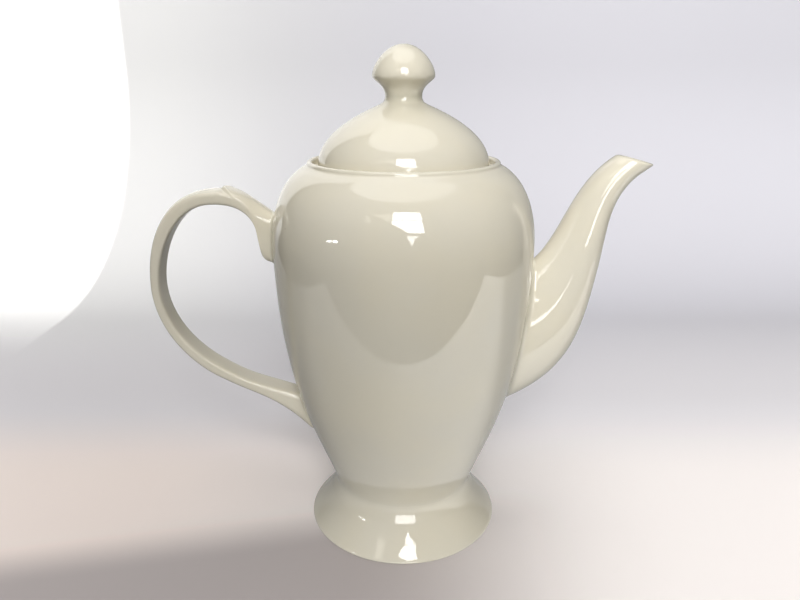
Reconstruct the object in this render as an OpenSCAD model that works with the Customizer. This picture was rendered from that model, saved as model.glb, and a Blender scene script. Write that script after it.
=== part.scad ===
// A tall glazed coffee pot: a vase-shaped body on a flared foot, with a spout,
// an ear-shaped strap handle and a domed lid that drops onto a ledge in the mouth.
// Millimetres, +Z up. The origin is on the table, on the body's axis.
// The spout points along +X and the handle along -X.

/* [Foot] */
// Outer diameter where the foot stands on the table
foot_d = 102; // [94:1:110]
// Height of the foot, from the table to the body's floor
foot_h = 24.5; // [21:0.5:30]
// Wall of the hollow foot
foot_wall = 5; // [4:0.5:6]
// Thickness of the rounded edge that runs around the foot
foot_edge = 1.8; // [1.2:0.1:3]

/* [Body] */
// Diameter of the waist, where the body meets the foot
waist_d = 74.4; // [70:0.2:80]
// Widest diameter of the body
belly_d = 129.6; // [124:0.2:138]
// Height of the widest place above the foot
belly_up = 130.4; // [122:0.2:136]
// Height of the body, from the foot to the top of the rim
body_h = 171.2; // [166:0.2:180]
// Wall of the body
body_wall = 4; // [3:0.5:5]
// Thickness of the body's floor
floor_t = 4.5; // [3:0.5:6]

/* [Mouth] */
// Outer diameter of the rim
rim_d = 93.4; // [91:0.2:98]
// Width of the rounded lip around the lid
lip_w = 2.8; // [2.4:0.2:4]
// Depth of the ledge below the top of the lip
ledge_drop = 3.6; // [2.6:0.1:4.4]
// Thickness of the ledge that carries the lid
ledge_t = 4.4; // [3.5:0.1:6]
// Diameter of the throat inside the ledge
throat_d = 74; // [70:1:76]

/* [Spout] */
// Height of the top of the spout's root above the foot
spout_root_top = 116.5; // [112:0.5:120]
// Height of the bottom of the spout's root above the foot
spout_root_low = 42; // [38:0.5:46]
// Width of the spout's root where it meets the body
spout_root_w = 34; // [31:0.5:40]
// Distance of the spout's tip from the body's axis
spout_reach = 121.2; // [117:0.2:127]
// Distance of the spout's lower side from the axis, half way up
spout_knee = 98.3; // [95:0.1:102]
// Drop of the spout's tip below the rim
spout_tip_drop = 2.3; // [0:0.1:4]
// Length of the mouth of the spout, from its back to its tip
spout_mouth_l = 17.8; // [16:0.2:20]
// Width of the mouth of the spout
spout_mouth_w = 17; // [14:0.5:20]
// Wall of the spout
spout_wall = 3; // [2.5:0.1:3.5]

/* [Strainer] */
// Diameter of each hole behind the spout
strainer_hole_d = 6; // [4:0.5:7]
// Distance between neighbouring holes
strainer_pitch = 10; // [9:0.5:11]
// Height of the middle hole above the foot
strainer_up = 82; // [78:1:86]

/* [Handle] */
// Distance of the outside of the handle from the body's widest place
handle_reach = 63.5; // [58:0.5:69]
// Height of the top of the handle's upper root above the foot
handle_top_up = 141.5; // [137:0.5:145]
// Length of the upper root along the body
handle_top_l = 20.7; // [17:0.1:24]
// Height of the lower root's tip above the foot
handle_low_up = 25; // [22:0.5:29]
// Length of the lower root along the body
handle_low_l = 19.5; // [17:0.5:22]
// Height of the thumb rest above the foot
thumb_up = 158.5; // [155:0.5:162]
// Step down behind the thumb rest
thumb_step = 1.4; // [0.5:0.1:2.5]
// Thickness of the strap at its thinnest
strap_t = 5.3; // [4.5:0.1:7]
// Width of the strap at its narrowest
strap_w = 13; // [11:0.5:16]
// Width of the handle's upper part, under the thumb rest
strap_top_w = 15; // [13:0.5:18]

/* [Lid] */
// Gap between the lid's edge and the lip around it
lid_gap = 2.7; // [1.5:0.1:3]
// Height of the lid's dome above the ledge, up to the knob
dome_h = 32.9; // [30:0.1:38]
// Height of the lid's upright edge
lid_edge = 1.3; // [1:0.1:3]
// Wall of the lid
lid_wall = 4; // [3:0.5:5]
// Clearance between the lid's flange and the throat
flange_gap = 1; // [0.6:0.1:1.5]
// Depth of the flange below the ledge
flange_h = 12; // [10:0.5:15]
// Wall of the flange
flange_wall = 3.4; // [3:0.1:4]
// Diameter of the steam vent
vent_d = 4; // [3:0.5:5]
// Distance of the steam vent from the lid's axis
vent_out = 20; // [18:0.5:24]

/* [Lug] */
// How far the locking lug stands out from the flange
lug_out = 4; // [3:0.1:4.2]
// Height of the locking lug
lug_h = 4.4; // [3:0.1:5]
// Angle that the lug takes up around the flange, in degrees
lug_angle = 22; // [16:1:30]
// Clearance around the lug as it passes the notch in the ledge
lug_gap = 0.8; // [0.5:0.1:1.2]

/* [Knob] */
// Diameter of the knob's neck
knob_neck_d = 17.6; // [15:0.2:20]
// Widest diameter of the knob
knob_d = 29.5; // [26:0.1:32]
// Height of the knob's widest place above the lid
knob_wide_up = 9.1; // [8.5:0.1:11]
// Height of the knob above the lid
knob_h = 23; // [21:0.2:28]

/* [Hidden] */
$fn = 96;

steps = 16;            // points along each curve of a turned piece
joint_gap = 0.05;      // slip joint between the body and what is stuck on its wall
root_sink = 5.2;       // how far roots reach into the body before they are trimmed
handle_end_sink = 3.2; // the same for the lower end of the handle's outside
spout_rings = 13;      // rings in each half of the spout
spout_sides = 20;      // points around the spout
handle_rings = 8;      // rings in each stretch of the handle
handle_sides = 16;     // points around the handle
handle_square = 0.4;   // 0 is an oval strap, and more is a squarer one
edge_round = 0.8;      // small rounding on the lid's edge and the lug
through = 1;           // how far a cut runs past what it cuts
half_turn = 180;

// Pulls: how far a curve keeps its first or last direction, as [outwards, upwards].
waist_pull = [8.1, 25.9];
belly_pull = 75.6;
shoulder_pull = 22.9;
shoulder_end = [3.3, -2.5];     // where the shoulder begins to turn up into the lip
shoulder_end_pull = [5.9, -3.8];
rim_pulls = [[-2, 1.3], [0.3, -0.9]];
edge_pull = [-0.7, 1.6];
foot_pull = [1.7, -11.5];
dome_pull = 15.7;
crown = [3.2, -4];              // where the dome turns up into the knob's neck
crown_pull = [5.4, -2.5];
neck_pull = [-1.8, 0.9];
neck_rise = 2.6;
knob_neck_pull = 5.6;
knob_under_pull = 2.6;
knob_side_pull = 4.5;
knob_top_pull = 8.6;

// The same for the stretches of a side, each as [at its start, at its end].
spout_upper_pulls = [[20.3, 11.1], [-24.3, -15.4]];
spout_lower_pulls = [
    [[41.7, 15.7], [-5.7, -33.4]],      // root to knee
    [[4, 23.6], [-21.6, -12.5]]];       // knee to tip
handle_outer_pulls = [
    [[-13.1, 8.3], [11.9, -2.7]],       // root to thumb rest
    [[-27.3, 0], [0, 23.1]],            // thumb rest to back
    [[0, -20.7], [-20.4, 9.8]],         // back to bend
    [[15.9, -8.6], [-16.8, 19.1]],      // bend to tip
    [[1.6, -2], [-3.4, -0.5]]];         // tip to body
handle_inner_pulls = [
    [[-6, -0.7], [0, -5.8]],            // root to tail
    [[0, 19.1], [11.3, 0]],             // tail to thumb rest
    [[-18.6, 0], [0, 18.1]],            // thumb rest to back
    [[0, -17.1], [-15.6, 10]],          // back to bend
    [[17.1, -11], [-22.9, 7.9]],        // bend to arm
    [[3, -1], [-1, 1]]];                // arm to body

// Places along the spout and handle, as [outwards, upwards].
knee_rise = 9.7;                // how far the knee lies above the middle of root and rim
spout_back_rise = 4.6;          // how far the back of the mouth stands above the tip
back_up = 107.5;                // height of the handle's back above the foot
thumb_in = 39.7;                // thumb rest, from the back towards the body
step_l = 3;                     // length of the step behind the thumb rest
thumb_under = [-0.6, -3.2];     // underside of the strap there, from the step
bend_place = [34.3, 55.8];      // where the handle turns in, from the back and above the foot
bend_under = [-3, 4];           // underside of the strap there
tail_place = [-5.7, 5.7];       // rounded tail, from the belly and the root's lower end
tip_place = [-9, 2.4];          // rounded tip of the lower root, from where it is sunk in
arm_place = [-5.5, 3];          // top of the lower root, likewise

waist_r = waist_d / 2;
belly_r = belly_d / 2;
belly_z = foot_h + belly_up;
rim_z = foot_h + body_h;
rim_r = rim_d / 2;
lip_r = rim_r - lip_w;              // inside of the lip
lip_side_z = rim_z - lip_w / 2;     // where the lip's rounded top begins
throat_r = throat_d / 2;
ledge_z = rim_z - ledge_drop;       // the lid's seat
shelf_z = ledge_z - ledge_t;        // underside of the ledge
floor_z = foot_h + floor_t;
floor_round = 10;                   // how wide the floor curves up into the wall

lid_r = lip_r - lid_gap;
flange_r = throat_r - flange_gap;
flange_in_r = flange_r - flange_wall;
flange_z = ledge_z - flange_h;
lug_r = flange_r + lug_out;
lug_z = flange_z + edge_round;
dome_top_z = ledge_z + dome_h;      // seam between the lid and the knob
neck_r = knob_neck_d / 2;
vent_turn = 115;                    // the vent is on the far side, towards the handle
vent_tilt = 26;                     // square to the dome there

// ---- curves -------------------------------------------------------------

// A point at t from 0 to 1 on the curve from p[0] to p[3], pulled towards p[1] and p[2].
function curve_at(p, t) =
    pow(1 - t, 3) * p[0] + 3 * pow(1 - t, 2) * t * p[1]
    + 3 * (1 - t) * t * t * p[2] + pow(t, 3) * p[3];

// The curve as points, without its first one, so that curves can be joined end to end.
function curve(p, n = steps) = [for (i = [1 : n]) curve_at(p, i / n)];

// The four points of a curve from a to b, with its pulls at a and at b.
function pulled(a, b, pulls) = [a, a + pulls[0], b + pulls[1], b];

// Curves joined end to end, first point included.
function chain(parts, n = steps) = concat([parts[0][0]], [for (p = parts) each curve(p, n)]);

// Points moved sideways by w, to the left of the way they run.
function inset(pts, w) = [for (i = [0 : len(pts) - 1])
    let (a = pts[max(i - 1, 0)], b = pts[min(i + 1, len(pts) - 1)], d = (b - a) / norm(b - a))
    pts[i] + w * [-d.y, d.x]];

function arc(centre, r, from, to, n = 8) =
    [for (i = [0 : n]) let (a = from + (to - from) * i / n) centre + r * [cos(a), sin(a)]];

function reversed(list) = [for (i = [len(list) - 1 : -1 : 0]) list[i]];

// ---- body ---------------------------------------------------------------

// Outline of the body, as radius and height.
body_side = let (waist = [waist_r, foot_h], belly = [belly_r, belly_z],
                 rim = [rim_r, lip_side_z], turn = rim + shoulder_end)
    concat(
        chain([
            [waist, waist + waist_pull, belly - [0, belly_pull], belly],
            [belly, belly + [0, shoulder_pull], turn + shoulder_end_pull, turn]]),
        curve(pulled(turn, rim, rim_pulls), steps / 4));

// The body's outer radius at height z.
function body_r(z) = lookup(z, [for (p = body_side) [p.y, p.x]]);

module body_solid(grow) {
    rotate_extrude()
        polygon(concat(
            [[0, foot_h]],
            [for (p = body_side) [p.x + grow, p.y]],
            [[0, lip_side_z]]));
}

module pot_body() {
    wall_inside = [for (p = inset(body_side, body_wall))
        if (p.y > floor_z + body_wall && p.y < shelf_z - body_wall / 2 && p.x > throat_r - body_wall) p];
    low = wall_inside[0];
    profile = concat(
        [[0, foot_h]],
        body_side,
        arc([lip_r + lip_w / 2, lip_side_z], lip_w / 2, 0, half_turn),
        [[lip_r, ledge_z], [throat_r, ledge_z], [throat_r, shelf_z]],
        reversed(wall_inside),
        curve([low, [low.x - floor_round / 5, floor_z + floor_t / 4],
               [low.x - floor_round / 2, floor_z], [low.x - floor_round, floor_z]], 5),
        [[0, floor_z]]);
    color("ivory")
        difference() {
            rotate_extrude() polygon(profile);
            strainer_holes();
            notch();
        }
}

// Round holes behind the spout, one in the middle of six.
module strainer_holes() {
    spots = concat([[0, 0]], [for (a = [30 : 60 : 330]) strainer_pitch * [cos(a), sin(a)]]);
    for (s = spots)
        translate([belly_r / 2, s.x, foot_h + strainer_up + s.y])
            rotate([0, 90, 0])
                cylinder(d = strainer_hole_d, h = belly_r);
}

// The gap in the ledge that lets the lug through.
module notch() {
    notch_angle = lug_angle + 2 * lug_gap / lug_r * half_turn / PI;
    low_z = shelf_z - through;
    high_z = ledge_z + through / 10;
    in_r = throat_r - through;
    out_r = lug_r + lug_gap;
    rotate([0, 0, -notch_angle / 2])
        rotate_extrude(angle = notch_angle)
            polygon([[in_r, low_z], [out_r, low_z], [out_r, high_z], [in_r, high_z]]);
}

// ---- foot ---------------------------------------------------------------

module foot() {
    edge_r = foot_edge / 2;
    edge = arc([foot_d / 2 - edge_r, edge_r], edge_r, -half_turn / 2, half_turn / 4, 5);
    start = edge[len(edge) - 1];
    top = [waist_r, foot_h];
    flare = chain([[start, start + edge_pull, top + foot_pull, top]]);
    flare_inside = [for (p = inset(flare, foot_wall))
        if (p.y > 2 * foot_edge && p.y < foot_h - through && p.x > waist_r - foot_wall) p];
    profile = concat(
        edge,
        flare,
        [[waist_r - foot_wall, foot_h]],
        reversed(flare_inside),
        [[foot_d / 2 - foot_wall, 0]]);
    color("ivory")
        rotate_extrude() polygon(profile);
}

// ---- lofted pieces ------------------------------------------------------

// One ring of points around the middle of a and b, which lie in the XZ plane.
// w is its full width along Y, and square 0 gives an ellipse, more a squarer strap.
function ring(a, b, w, sides, square = 0) =
    let (mid = (a + b) / 2, half = (b - a) / 2, power = 1 - square)
    [for (i = [0 : sides - 1])
        let (angle = 2 * half_turn * (i + 0.5) / sides, c = cos(angle), s = sin(angle),
             u = sign(c) * pow(abs(c), power), v = sign(s) * pow(abs(s), power))
        [mid.x + half.x * u, w / 2 * v, mid.y + half.y * u]];

// Triangles between ring i and ring i + 1 of a stack.
function band(i, sides, first = 0) = [for (j = [0 : sides - 1])
    let (k = (j + 1) % sides, a = first + i * sides, b = a + sides)
    each [[a + j, b + j, a + k], [a + k, b + j, b + k]]];

function flipped(faces) = [for (f = faces) reversed(f)];

module loft(rings) {
    sides = len(rings[0]);
    last = (len(rings) - 1) * sides;
    polyhedron(
        points = [for (r = rings) each r],
        faces = flipped(concat(
            [for (i = [0 : len(rings) - 2]) each band(i, sides)],
            [for (j = [1 : sides - 2]) [0, j, j + 1]],
            [for (j = [1 : sides - 2]) [last, last + j + 1, last + j]])));
}

// A pipe: outer rings, inner rings, and a flat ring of wall at each end.
module pipe(outer, inner) {
    sides = len(outer[0]);
    count = len(outer);
    first = count * sides;
    last = (count - 1) * sides;
    polyhedron(
        points = concat([for (r = outer) each r], [for (r = inner) each r]),
        faces = flipped(concat(
            [for (i = [0 : count - 2]) each band(i, sides)],
            [for (i = [0 : count - 2]) each flipped(band(i, sides, first))],
            [for (j = [0 : sides - 1]) let (k = (j + 1) % sides)
                each [[j, k, first + j], [k, first + k, first + j]]],
            [for (j = [0 : sides - 1]) let (k = (j + 1) % sides)
                each [[last + j, last + first + j, last + k],
                      [last + k, last + first + j, last + first + k]]])));
}

// A point sunk into the body's wall at height z, on the spout's side.
function in_wall(z, sink = root_sink) = [body_r(z) - sink, z];

// ---- spout --------------------------------------------------------------

spout_knee_z = foot_h + (spout_root_low + body_h) / 2 + knee_rise;
spout_tip = [spout_reach, rim_z - spout_tip_drop];
spout_back = spout_tip + [-spout_mouth_l, spout_back_rise];

// Upper side of the spout, from inside the body to the back of its mouth.
spout_upper = pulled(in_wall(foot_h + spout_root_top), spout_back, spout_upper_pulls);

// Lower side, in two stretches that meet at the knee.
spout_lower = let (knee = [spout_knee, spout_knee_z])
    [pulled(in_wall(foot_h + spout_root_low), knee, spout_lower_pulls[0]),
     pulled(knee, spout_tip, spout_lower_pulls[1])];

// The spout's lower and upper points at t from 0 (root) to 2 (mouth).
function spout_rail(t) =
    [t <= 1 ? curve_at(spout_lower[0], t) : curve_at(spout_lower[1], t - 1),
     curve_at(spout_upper, t / 2)];

// Its width there: it narrows quickly at first, then slowly.
function spout_width(t) =
    spout_mouth_w + (spout_root_w - spout_mouth_w) * pow(1 - t / 2, 1.8);

module spout() {
    ts = [for (i = [0 : 2 * spout_rings]) i / spout_rings];
    outer = [for (t = ts) let (e = spout_rail(t)) ring(e[0], e[1], spout_width(t), spout_sides)];
    inner = [for (t = ts)
        let (e = spout_rail(t), way = (e[1] - e[0]) / norm(e[1] - e[0]))
        ring(e[0] + spout_wall * way, e[1] - spout_wall * way,
             spout_width(t) - 2 * spout_wall, spout_sides)];
    color("ivory")
        difference() {
            pipe(outer, inner);
            body_solid(joint_gap);
        }
}

// ---- handle -------------------------------------------------------------

// A point sunk into the body's wall at height z, on the handle's side.
function in_back(z, sink = root_sink) = [-in_wall(z, sink).x, z];

handle_z = foot_h + handle_top_up;               // top of the upper root
handle_tail_z = handle_z - handle_top_l;         // bottom of the upper root
handle_tip_z = foot_h + handle_low_up;           // bottom of the lower root
handle_arm_z = handle_tip_z + handle_low_l;      // top of the lower root

back = [-belly_r - handle_reach, foot_h + back_up];     // the handle's outermost place
back_in = back + [strap_t, 0];
thumb = [back.x + thumb_in, foot_h + thumb_up];
step_out = thumb - [step_l, thumb_step];                // foot of the step behind the thumb rest
step_in = [step_out.x, thumb.y - strap_t] + thumb_under;
tail = [-belly_r, handle_tail_z] + tail_place;
bend = [back.x, foot_h] + bend_place;
bend_in = bend + [0, strap_t] + bend_under;
tip = in_back(handle_tip_z) + tip_place;
arm_in = in_back(handle_arm_z) + arm_place;

// Outside of the handle: over the thumb rest, around the back and down to the tip.
handle_outer = let (root = in_back(handle_z), n = handle_rings, p = handle_outer_pulls,
                    end = in_back(handle_tip_z, handle_end_sink))
    concat([root],
        curve(pulled(root, thumb, p[0]), 2 * n),
        [step_out],
        curve(pulled(step_out, back, p[1]), n),
        curve(pulled(back, bend, p[2]), n),
        curve(pulled(bend, tip, p[3]), n),
        curve(pulled(tip, end, p[4]), n / 2));

// Inside of the handle, with as many points.
handle_inner = let (root = in_back(handle_tail_z), n = handle_rings, p = handle_inner_pulls)
    concat([root],
        curve(pulled(root, tail, p[0]), n),
        curve(pulled(tail, step_in, p[1]), n),
        [step_in - [step_l / 3, 0]],
        curve(pulled(step_in, back_in, p[2]), n),
        curve(pulled(back_in, bend_in, p[3]), n),
        curve(pulled(bend_in, arm_in, p[4]), n),
        curve(pulled(arm_in, in_back(handle_arm_z), p[5]), n / 2));

// Width of the strap, by the number of stretches from the upper root.
function handle_width(stretch) = lookup(stretch, [
    [0, 0.87 * strap_top_w], [1, strap_top_w], [2, strap_top_w], [3, 1.04 * strap_w],
    [4, strap_w], [5, 1.12 * strap_w], [5.5, 0.7 * strap_w]]);

module handle() {
    rings = [for (i = [0 : len(handle_outer) - 1])
        ring(handle_outer[i], handle_inner[i], handle_width(i / handle_rings), handle_sides, handle_square)];
    color("ivory")
        difference() {
            loft(rings);
            body_solid(joint_gap);
        }
}

// ---- lid ----------------------------------------------------------------

dome_side = let (edge = [lid_r, ledge_z + lid_edge], turn = [neck_r, dome_top_z] + crown,
                 neck = [neck_r, dome_top_z])
    chain([
        [edge, edge + [0, dome_pull], turn + crown_pull, turn],
        [turn, turn + neck_pull, neck - [0, neck_rise], neck]
    ], 12);

// Height of the lid's outside at radius r.
function dome_z(r) = lookup(r, [for (p = reversed(dome_side)) [p.x, p.y]]);

module lid() {
    hollow = [for (p = inset(dome_side, lid_wall))
        if (p.y > ledge_z + lid_wall && p.x > neck_r / 2 && p.y < dome_top_z - lid_wall) p];
    top = hollow[len(hollow) - 1];
    profile = concat(
        [[lid_r - edge_round, ledge_z], [lid_r, ledge_z + edge_round]],
        dome_side,
        [[0, dome_top_z], [0, top.y]],
        reversed(hollow),
        [[flange_in_r, ledge_z + lid_wall / 2], [flange_in_r, ledge_z]]);
    color("ivory")
        difference() {
            rotate_extrude() polygon(profile);
            rotate([0, 0, vent_turn])
                translate([vent_out, 0, dome_z(vent_out)])
                    rotate([0, vent_tilt, 0])
                        cylinder(d = vent_d, h = 4 * lid_wall, center = true);
        }
}

module lid_flange() {
    color("ivory")
        translate([0, 0, flange_z])
            difference() {
                cylinder(r = flange_r, h = flange_h);
                translate([0, 0, -through])
                    cylinder(r = flange_in_r, h = flange_h + 2 * through);
            }
}

module lid_lug() {
    inner = lug_r - edge_round;
    top_z = lug_z + lug_h;
    color("ivory")
        rotate([0, 0, -lug_angle / 2])
            rotate_extrude(angle = lug_angle)
                polygon([[flange_r, lug_z], [inner, lug_z], [lug_r, lug_z + edge_round],
                         [lug_r, top_z - edge_round], [inner, top_z], [flange_r, top_z]]);
}

module knob() {
    neck = [neck_r, dome_top_z];
    wide = [knob_d / 2, dome_top_z + knob_wide_up];
    top = [0, dome_top_z + knob_h];
    side = chain([
        [neck, neck + [0, knob_neck_pull], wide - [0, knob_under_pull], wide],
        [wide, wide + [0, knob_side_pull], top + [knob_top_pull, 0], top]], 12);
    color("ivory")
        rotate_extrude() polygon(concat([[0, dome_top_z]], side));
}

pot_body();
foot();
spout();
handle();
lid();
lid_flange();
lid_lug();
knob();
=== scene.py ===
# %% [markdown]
# # A glazed coffee pot with a loose lid
#
# The real pot is two fired pieces: the pot and its lid. A potter makes each of them
# from a few parts that are joined while the clay is still soft: a turned body, a
# turned foot, a cast spout, a pressed strap handle, a turned dome with a flange, a
# small lug and a knob. This script makes each of those parts as its own closed mesh,
# in metres, on the axis of the body, with +X towards the spout.
#
# Everything turned comes out of one Geometry Nodes lathe, because a turned piece is
# nothing but an outline and a wheel. The spout and the handle aren't round, so they
# are lofted from two rails. One glaze covers all of it.

# %% Imports, the frame and units
import math

import bmesh
import bpy
import numpy as np
from mathutils import Matrix


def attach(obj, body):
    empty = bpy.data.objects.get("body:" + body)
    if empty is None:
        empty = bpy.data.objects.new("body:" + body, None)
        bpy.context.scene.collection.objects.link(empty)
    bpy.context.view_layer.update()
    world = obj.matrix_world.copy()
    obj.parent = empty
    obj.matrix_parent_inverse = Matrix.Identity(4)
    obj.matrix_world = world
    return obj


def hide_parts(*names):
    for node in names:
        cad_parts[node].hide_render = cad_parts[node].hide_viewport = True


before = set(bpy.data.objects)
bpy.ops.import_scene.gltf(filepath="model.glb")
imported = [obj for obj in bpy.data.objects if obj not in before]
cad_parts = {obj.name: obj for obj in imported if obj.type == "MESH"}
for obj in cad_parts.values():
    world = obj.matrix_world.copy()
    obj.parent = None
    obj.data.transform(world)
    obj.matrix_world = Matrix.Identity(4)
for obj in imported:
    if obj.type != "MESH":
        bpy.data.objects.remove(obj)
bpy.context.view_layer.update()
scene = bpy.context.scene
MM = 0.001

# %% [markdown]
# ## Small tools
#
# `Net` wraps a node tree. Its values can be added and multiplied like numbers, and
# each operator adds the Math node that does it, in a material or in Geometry Nodes.
# `Net.node` makes any other node from its inputs' names.


# %% Node formulas
class Value:
    """A socket that can be used in a formula."""

    def __init__(self, net, socket):
        self.net, self.socket = net, socket

    def math(self, operation, *others):
        return self.net.node("ShaderNodeMath", self, *others, operation=operation)

    def __add__(self, other):
        return self.math("ADD", other)

    def __sub__(self, other):
        return self.math("SUBTRACT", other)

    def __mul__(self, other):
        return self.math("MULTIPLY", other)

    def __truediv__(self, other):
        return self.math("DIVIDE", other)

    def __pow__(self, other):
        return self.math("POWER", other)

    def __rsub__(self, other):
        return self.net.node("ShaderNodeMath", other, self, operation="SUBTRACT")

    __radd__, __rmul__ = __add__, __mul__

    def step(self, low, high):
        """0 below low and 1 above high, with a smooth change between them."""
        span = {"From Min": low, "From Max": high}
        return self.net.node("ShaderNodeMapRange", Value=self, **span,
                             interpolation_type="SMOOTHSTEP")


class Net:
    """A node tree that formulas are written into."""

    def __init__(self, tree):
        self.tree = tree

    def node(self, kind, *values, output=0, **named):
        """Adds a node. Plain arguments fill its inputs in order, and named ones fill
        the inputs or the settings of that name."""
        new = self.tree.nodes.new(kind)
        inputs = {}
        for name, value in named.items():
            if name in new.bl_rna.properties:
                setattr(new, name, value)
            else:
                inputs[name] = value
        enabled = [s for s in new.inputs if s.enabled]
        for place, value in enumerate(values):
            self.fill(enabled[place], value)
        for name, value in inputs.items():
            self.fill(next(s for s in enabled if s.name == name), value)
        outputs = [s for s in new.outputs if s.enabled]
        if isinstance(output, int):
            return Value(self, outputs[output])
        return Value(self, next(s for s in outputs if s.name == output))

    def fill(self, socket, value):
        if isinstance(value, Value):
            self.tree.links.new(value.socket, socket)
        elif isinstance(value, (list, tuple)) and len(value) == 3 and socket.type == "RGBA":
            socket.default_value = (*value, 1)
        elif value is not None:
            socket.default_value = value

    def mix(self, factor, a, b):
        """Colour a where factor is 0 and b where it is 1."""
        return self.node("ShaderNodeMix", factor, a, b, data_type="RGBA", clamp_factor=True)

    def vector(self, operation, *values, output=0):
        return self.node("ShaderNodeVectorMath", *values, operation=operation, output=output)


# %% [markdown]
# ## Outlines
#
# The outlines repeat the CAD model's curves: points in millimetres, as radius (or x)
# and height, joined by curves that leave and reach them with a given pull.


# %% Outline functions
def bezier(a, pull_a, pull_b, b, count):
    """Points from a to b, without a. The pulls are added to a and b."""
    a, b = np.array(a, float), np.array(b, float)
    p, q = a + pull_a, b + pull_b
    t = np.linspace(0, 1, count + 1)[1:, None]
    return (1 - t) ** 3 * a + 3 * (1 - t) ** 2 * t * p + 3 * (1 - t) * t * t * q + t ** 3 * b


def chain(start, *stretches):
    """Curves joined end to end. Each one is (pull at its start, pull at its end, end, count)."""
    points = [np.array([start], float)]
    for pull_a, pull_b, end, count in stretches:
        points.append(bezier(points[-1][-1], pull_a, pull_b, end, count))
    return np.vstack(points)


def inset(points, distance):
    """Points moved to the left of the way they run."""
    way = np.gradient(points, axis=0)
    way /= np.linalg.norm(way, axis=1)[:, None]
    return points + distance * np.stack([-way[:, 1], way[:, 0]], 1)


def softened(corners, radius, count=5):
    """A polyline through the corners, with every inner corner rounded."""
    corners = np.array(corners, float)
    points = [corners[:1]]
    for before, corner, after in zip(corners, corners[1:], corners[2:]):
        to_a, to_b = before - corner, after - corner
        reach = min(radius, 0.45 * np.linalg.norm(to_a), 0.45 * np.linalg.norm(to_b))
        a = corner + to_a / np.linalg.norm(to_a) * reach
        b = corner + to_b / np.linalg.norm(to_b) * reach
        t = np.linspace(0, 1, count)[:, None]
        points.append((1 - t) ** 2 * a + 2 * (1 - t) * t * corner + t * t * b)
    points.append(corners[-1:])
    return np.vstack(points)


def filled(points, longest):
    """The polyline with points added until no step is longer than that."""
    out = [points[0]]
    for a, b in zip(points, points[1:]):
        steps = max(1, math.ceil(np.linalg.norm(b - a) / longest))
        out += [a + (b - a) * k / steps for k in range(1, steps + 1)]
    return np.array(out)


# The body's side, from the waist over the belly and the shoulder to the rim.
WAIST = (37.2, 24.5)
BELLY = (64.8, 154.9)
BODY_SIDE = chain(
    WAIST, ((8.1, 25.9), (0, -75.6), BELLY, 110), ((0, 22.9), (5.9, -3.8), (50.0, 191.8), 42),
    ((-2, 1.3), (0.3, -0.9), (46.7, 194.3), 10))
# The foot's flare, from its rounded edge up to the waist.
EDGE_TURN = np.radians(np.linspace(-90, 45, 10))
FOOT_EDGE = np.stack([50.1 + 0.9 * np.cos(EDGE_TURN), 0.9 + 0.9 * np.sin(EDGE_TURN)], 1)
FLARE = chain(FOOT_EDGE[-1], ((-0.7, 1.6), (1.7, -11.5), WAIST, 60))
LEDGE_Z = 192.1


def hollowed(line, height, reach, spread):
    """The line with its crease at that height wiped into a soft hollow."""
    fine = filled(line, 0.3)
    near_by = np.abs(fine[:, 1] - height) < reach + 3 * spread
    work = fine[near_by]
    gap = work[:, None, 1] - work[None, :, 1]
    share = np.exp(-(gap / spread) ** 2 / 2)
    smooth_r = (share * work[None, :, 0]).sum(1) / share.sum(1)
    amount = np.clip((reach - np.abs(work[:, 1] - height)) / (0.4 * reach), 0, 1)
    amount = amount * amount * (3 - 2 * amount)
    fine[near_by, 0] = work[:, 0] + (smooth_r - work[:, 0]) * amount
    return fine


# The joint between foot and body is wiped smooth; the two outlines meet in it.
BLEND = 60  # the body's outline is taken as it is from this point on
JOINED = hollowed(np.vstack([FLARE, BODY_SIDE[1:BLEND]]), WAIST[1], 9.0, 2.0)
JOINT = int(np.argmin(np.abs(JOINED[:, 1] - WAIST[1])))
JOINED[JOINT, 1] = WAIST[1]


def body_radius(z):
    return np.interp(z, BODY_SIDE[:, 1], BODY_SIDE[:, 0])


def body_depth(points):
    """Distance of points (x, y, z in mm) outside the body's wall, less than 0 within it."""
    r, z = np.hypot(points[..., 0], points[..., 1]), points[..., 2]
    lean = body_radius(z + 0.5) - body_radius(z - 0.5)
    return (r - body_radius(z)) / np.sqrt(1 + lean ** 2)


def body_normal(points):
    r, z = np.hypot(points[..., 0], points[..., 1]), points[..., 2]
    lean = body_radius(z + 0.5) - body_radius(z - 0.5)
    normal = np.stack([points[..., 0] / r, points[..., 1] / r, -lean], -1)
    return normal / np.linalg.norm(normal, axis=-1)[..., None]


print("Body: radius", body_radius(BELLY[1]), "at the belly, in mm")

# %% [markdown]
# ## The lathe
#
# A potter's wheel as a Geometry Nodes tree. It takes an outline and turns it around
# the axis: a flat grid is bent so that one side runs along the outline and the other
# goes once around. The wheel and the hand are never perfect, so a slow noise takes a
# little off the radius. That is what makes the reflections on a real pot swim.


# %% The lathe and the piece makers
def group_input(tree, kind, name, default=None):
    socket = tree.interface.new_socket(name, in_out="INPUT", socket_type=kind)
    if default is not None:
        socket.default_value = default
    return socket


NOISE_R = 0.03


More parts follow.
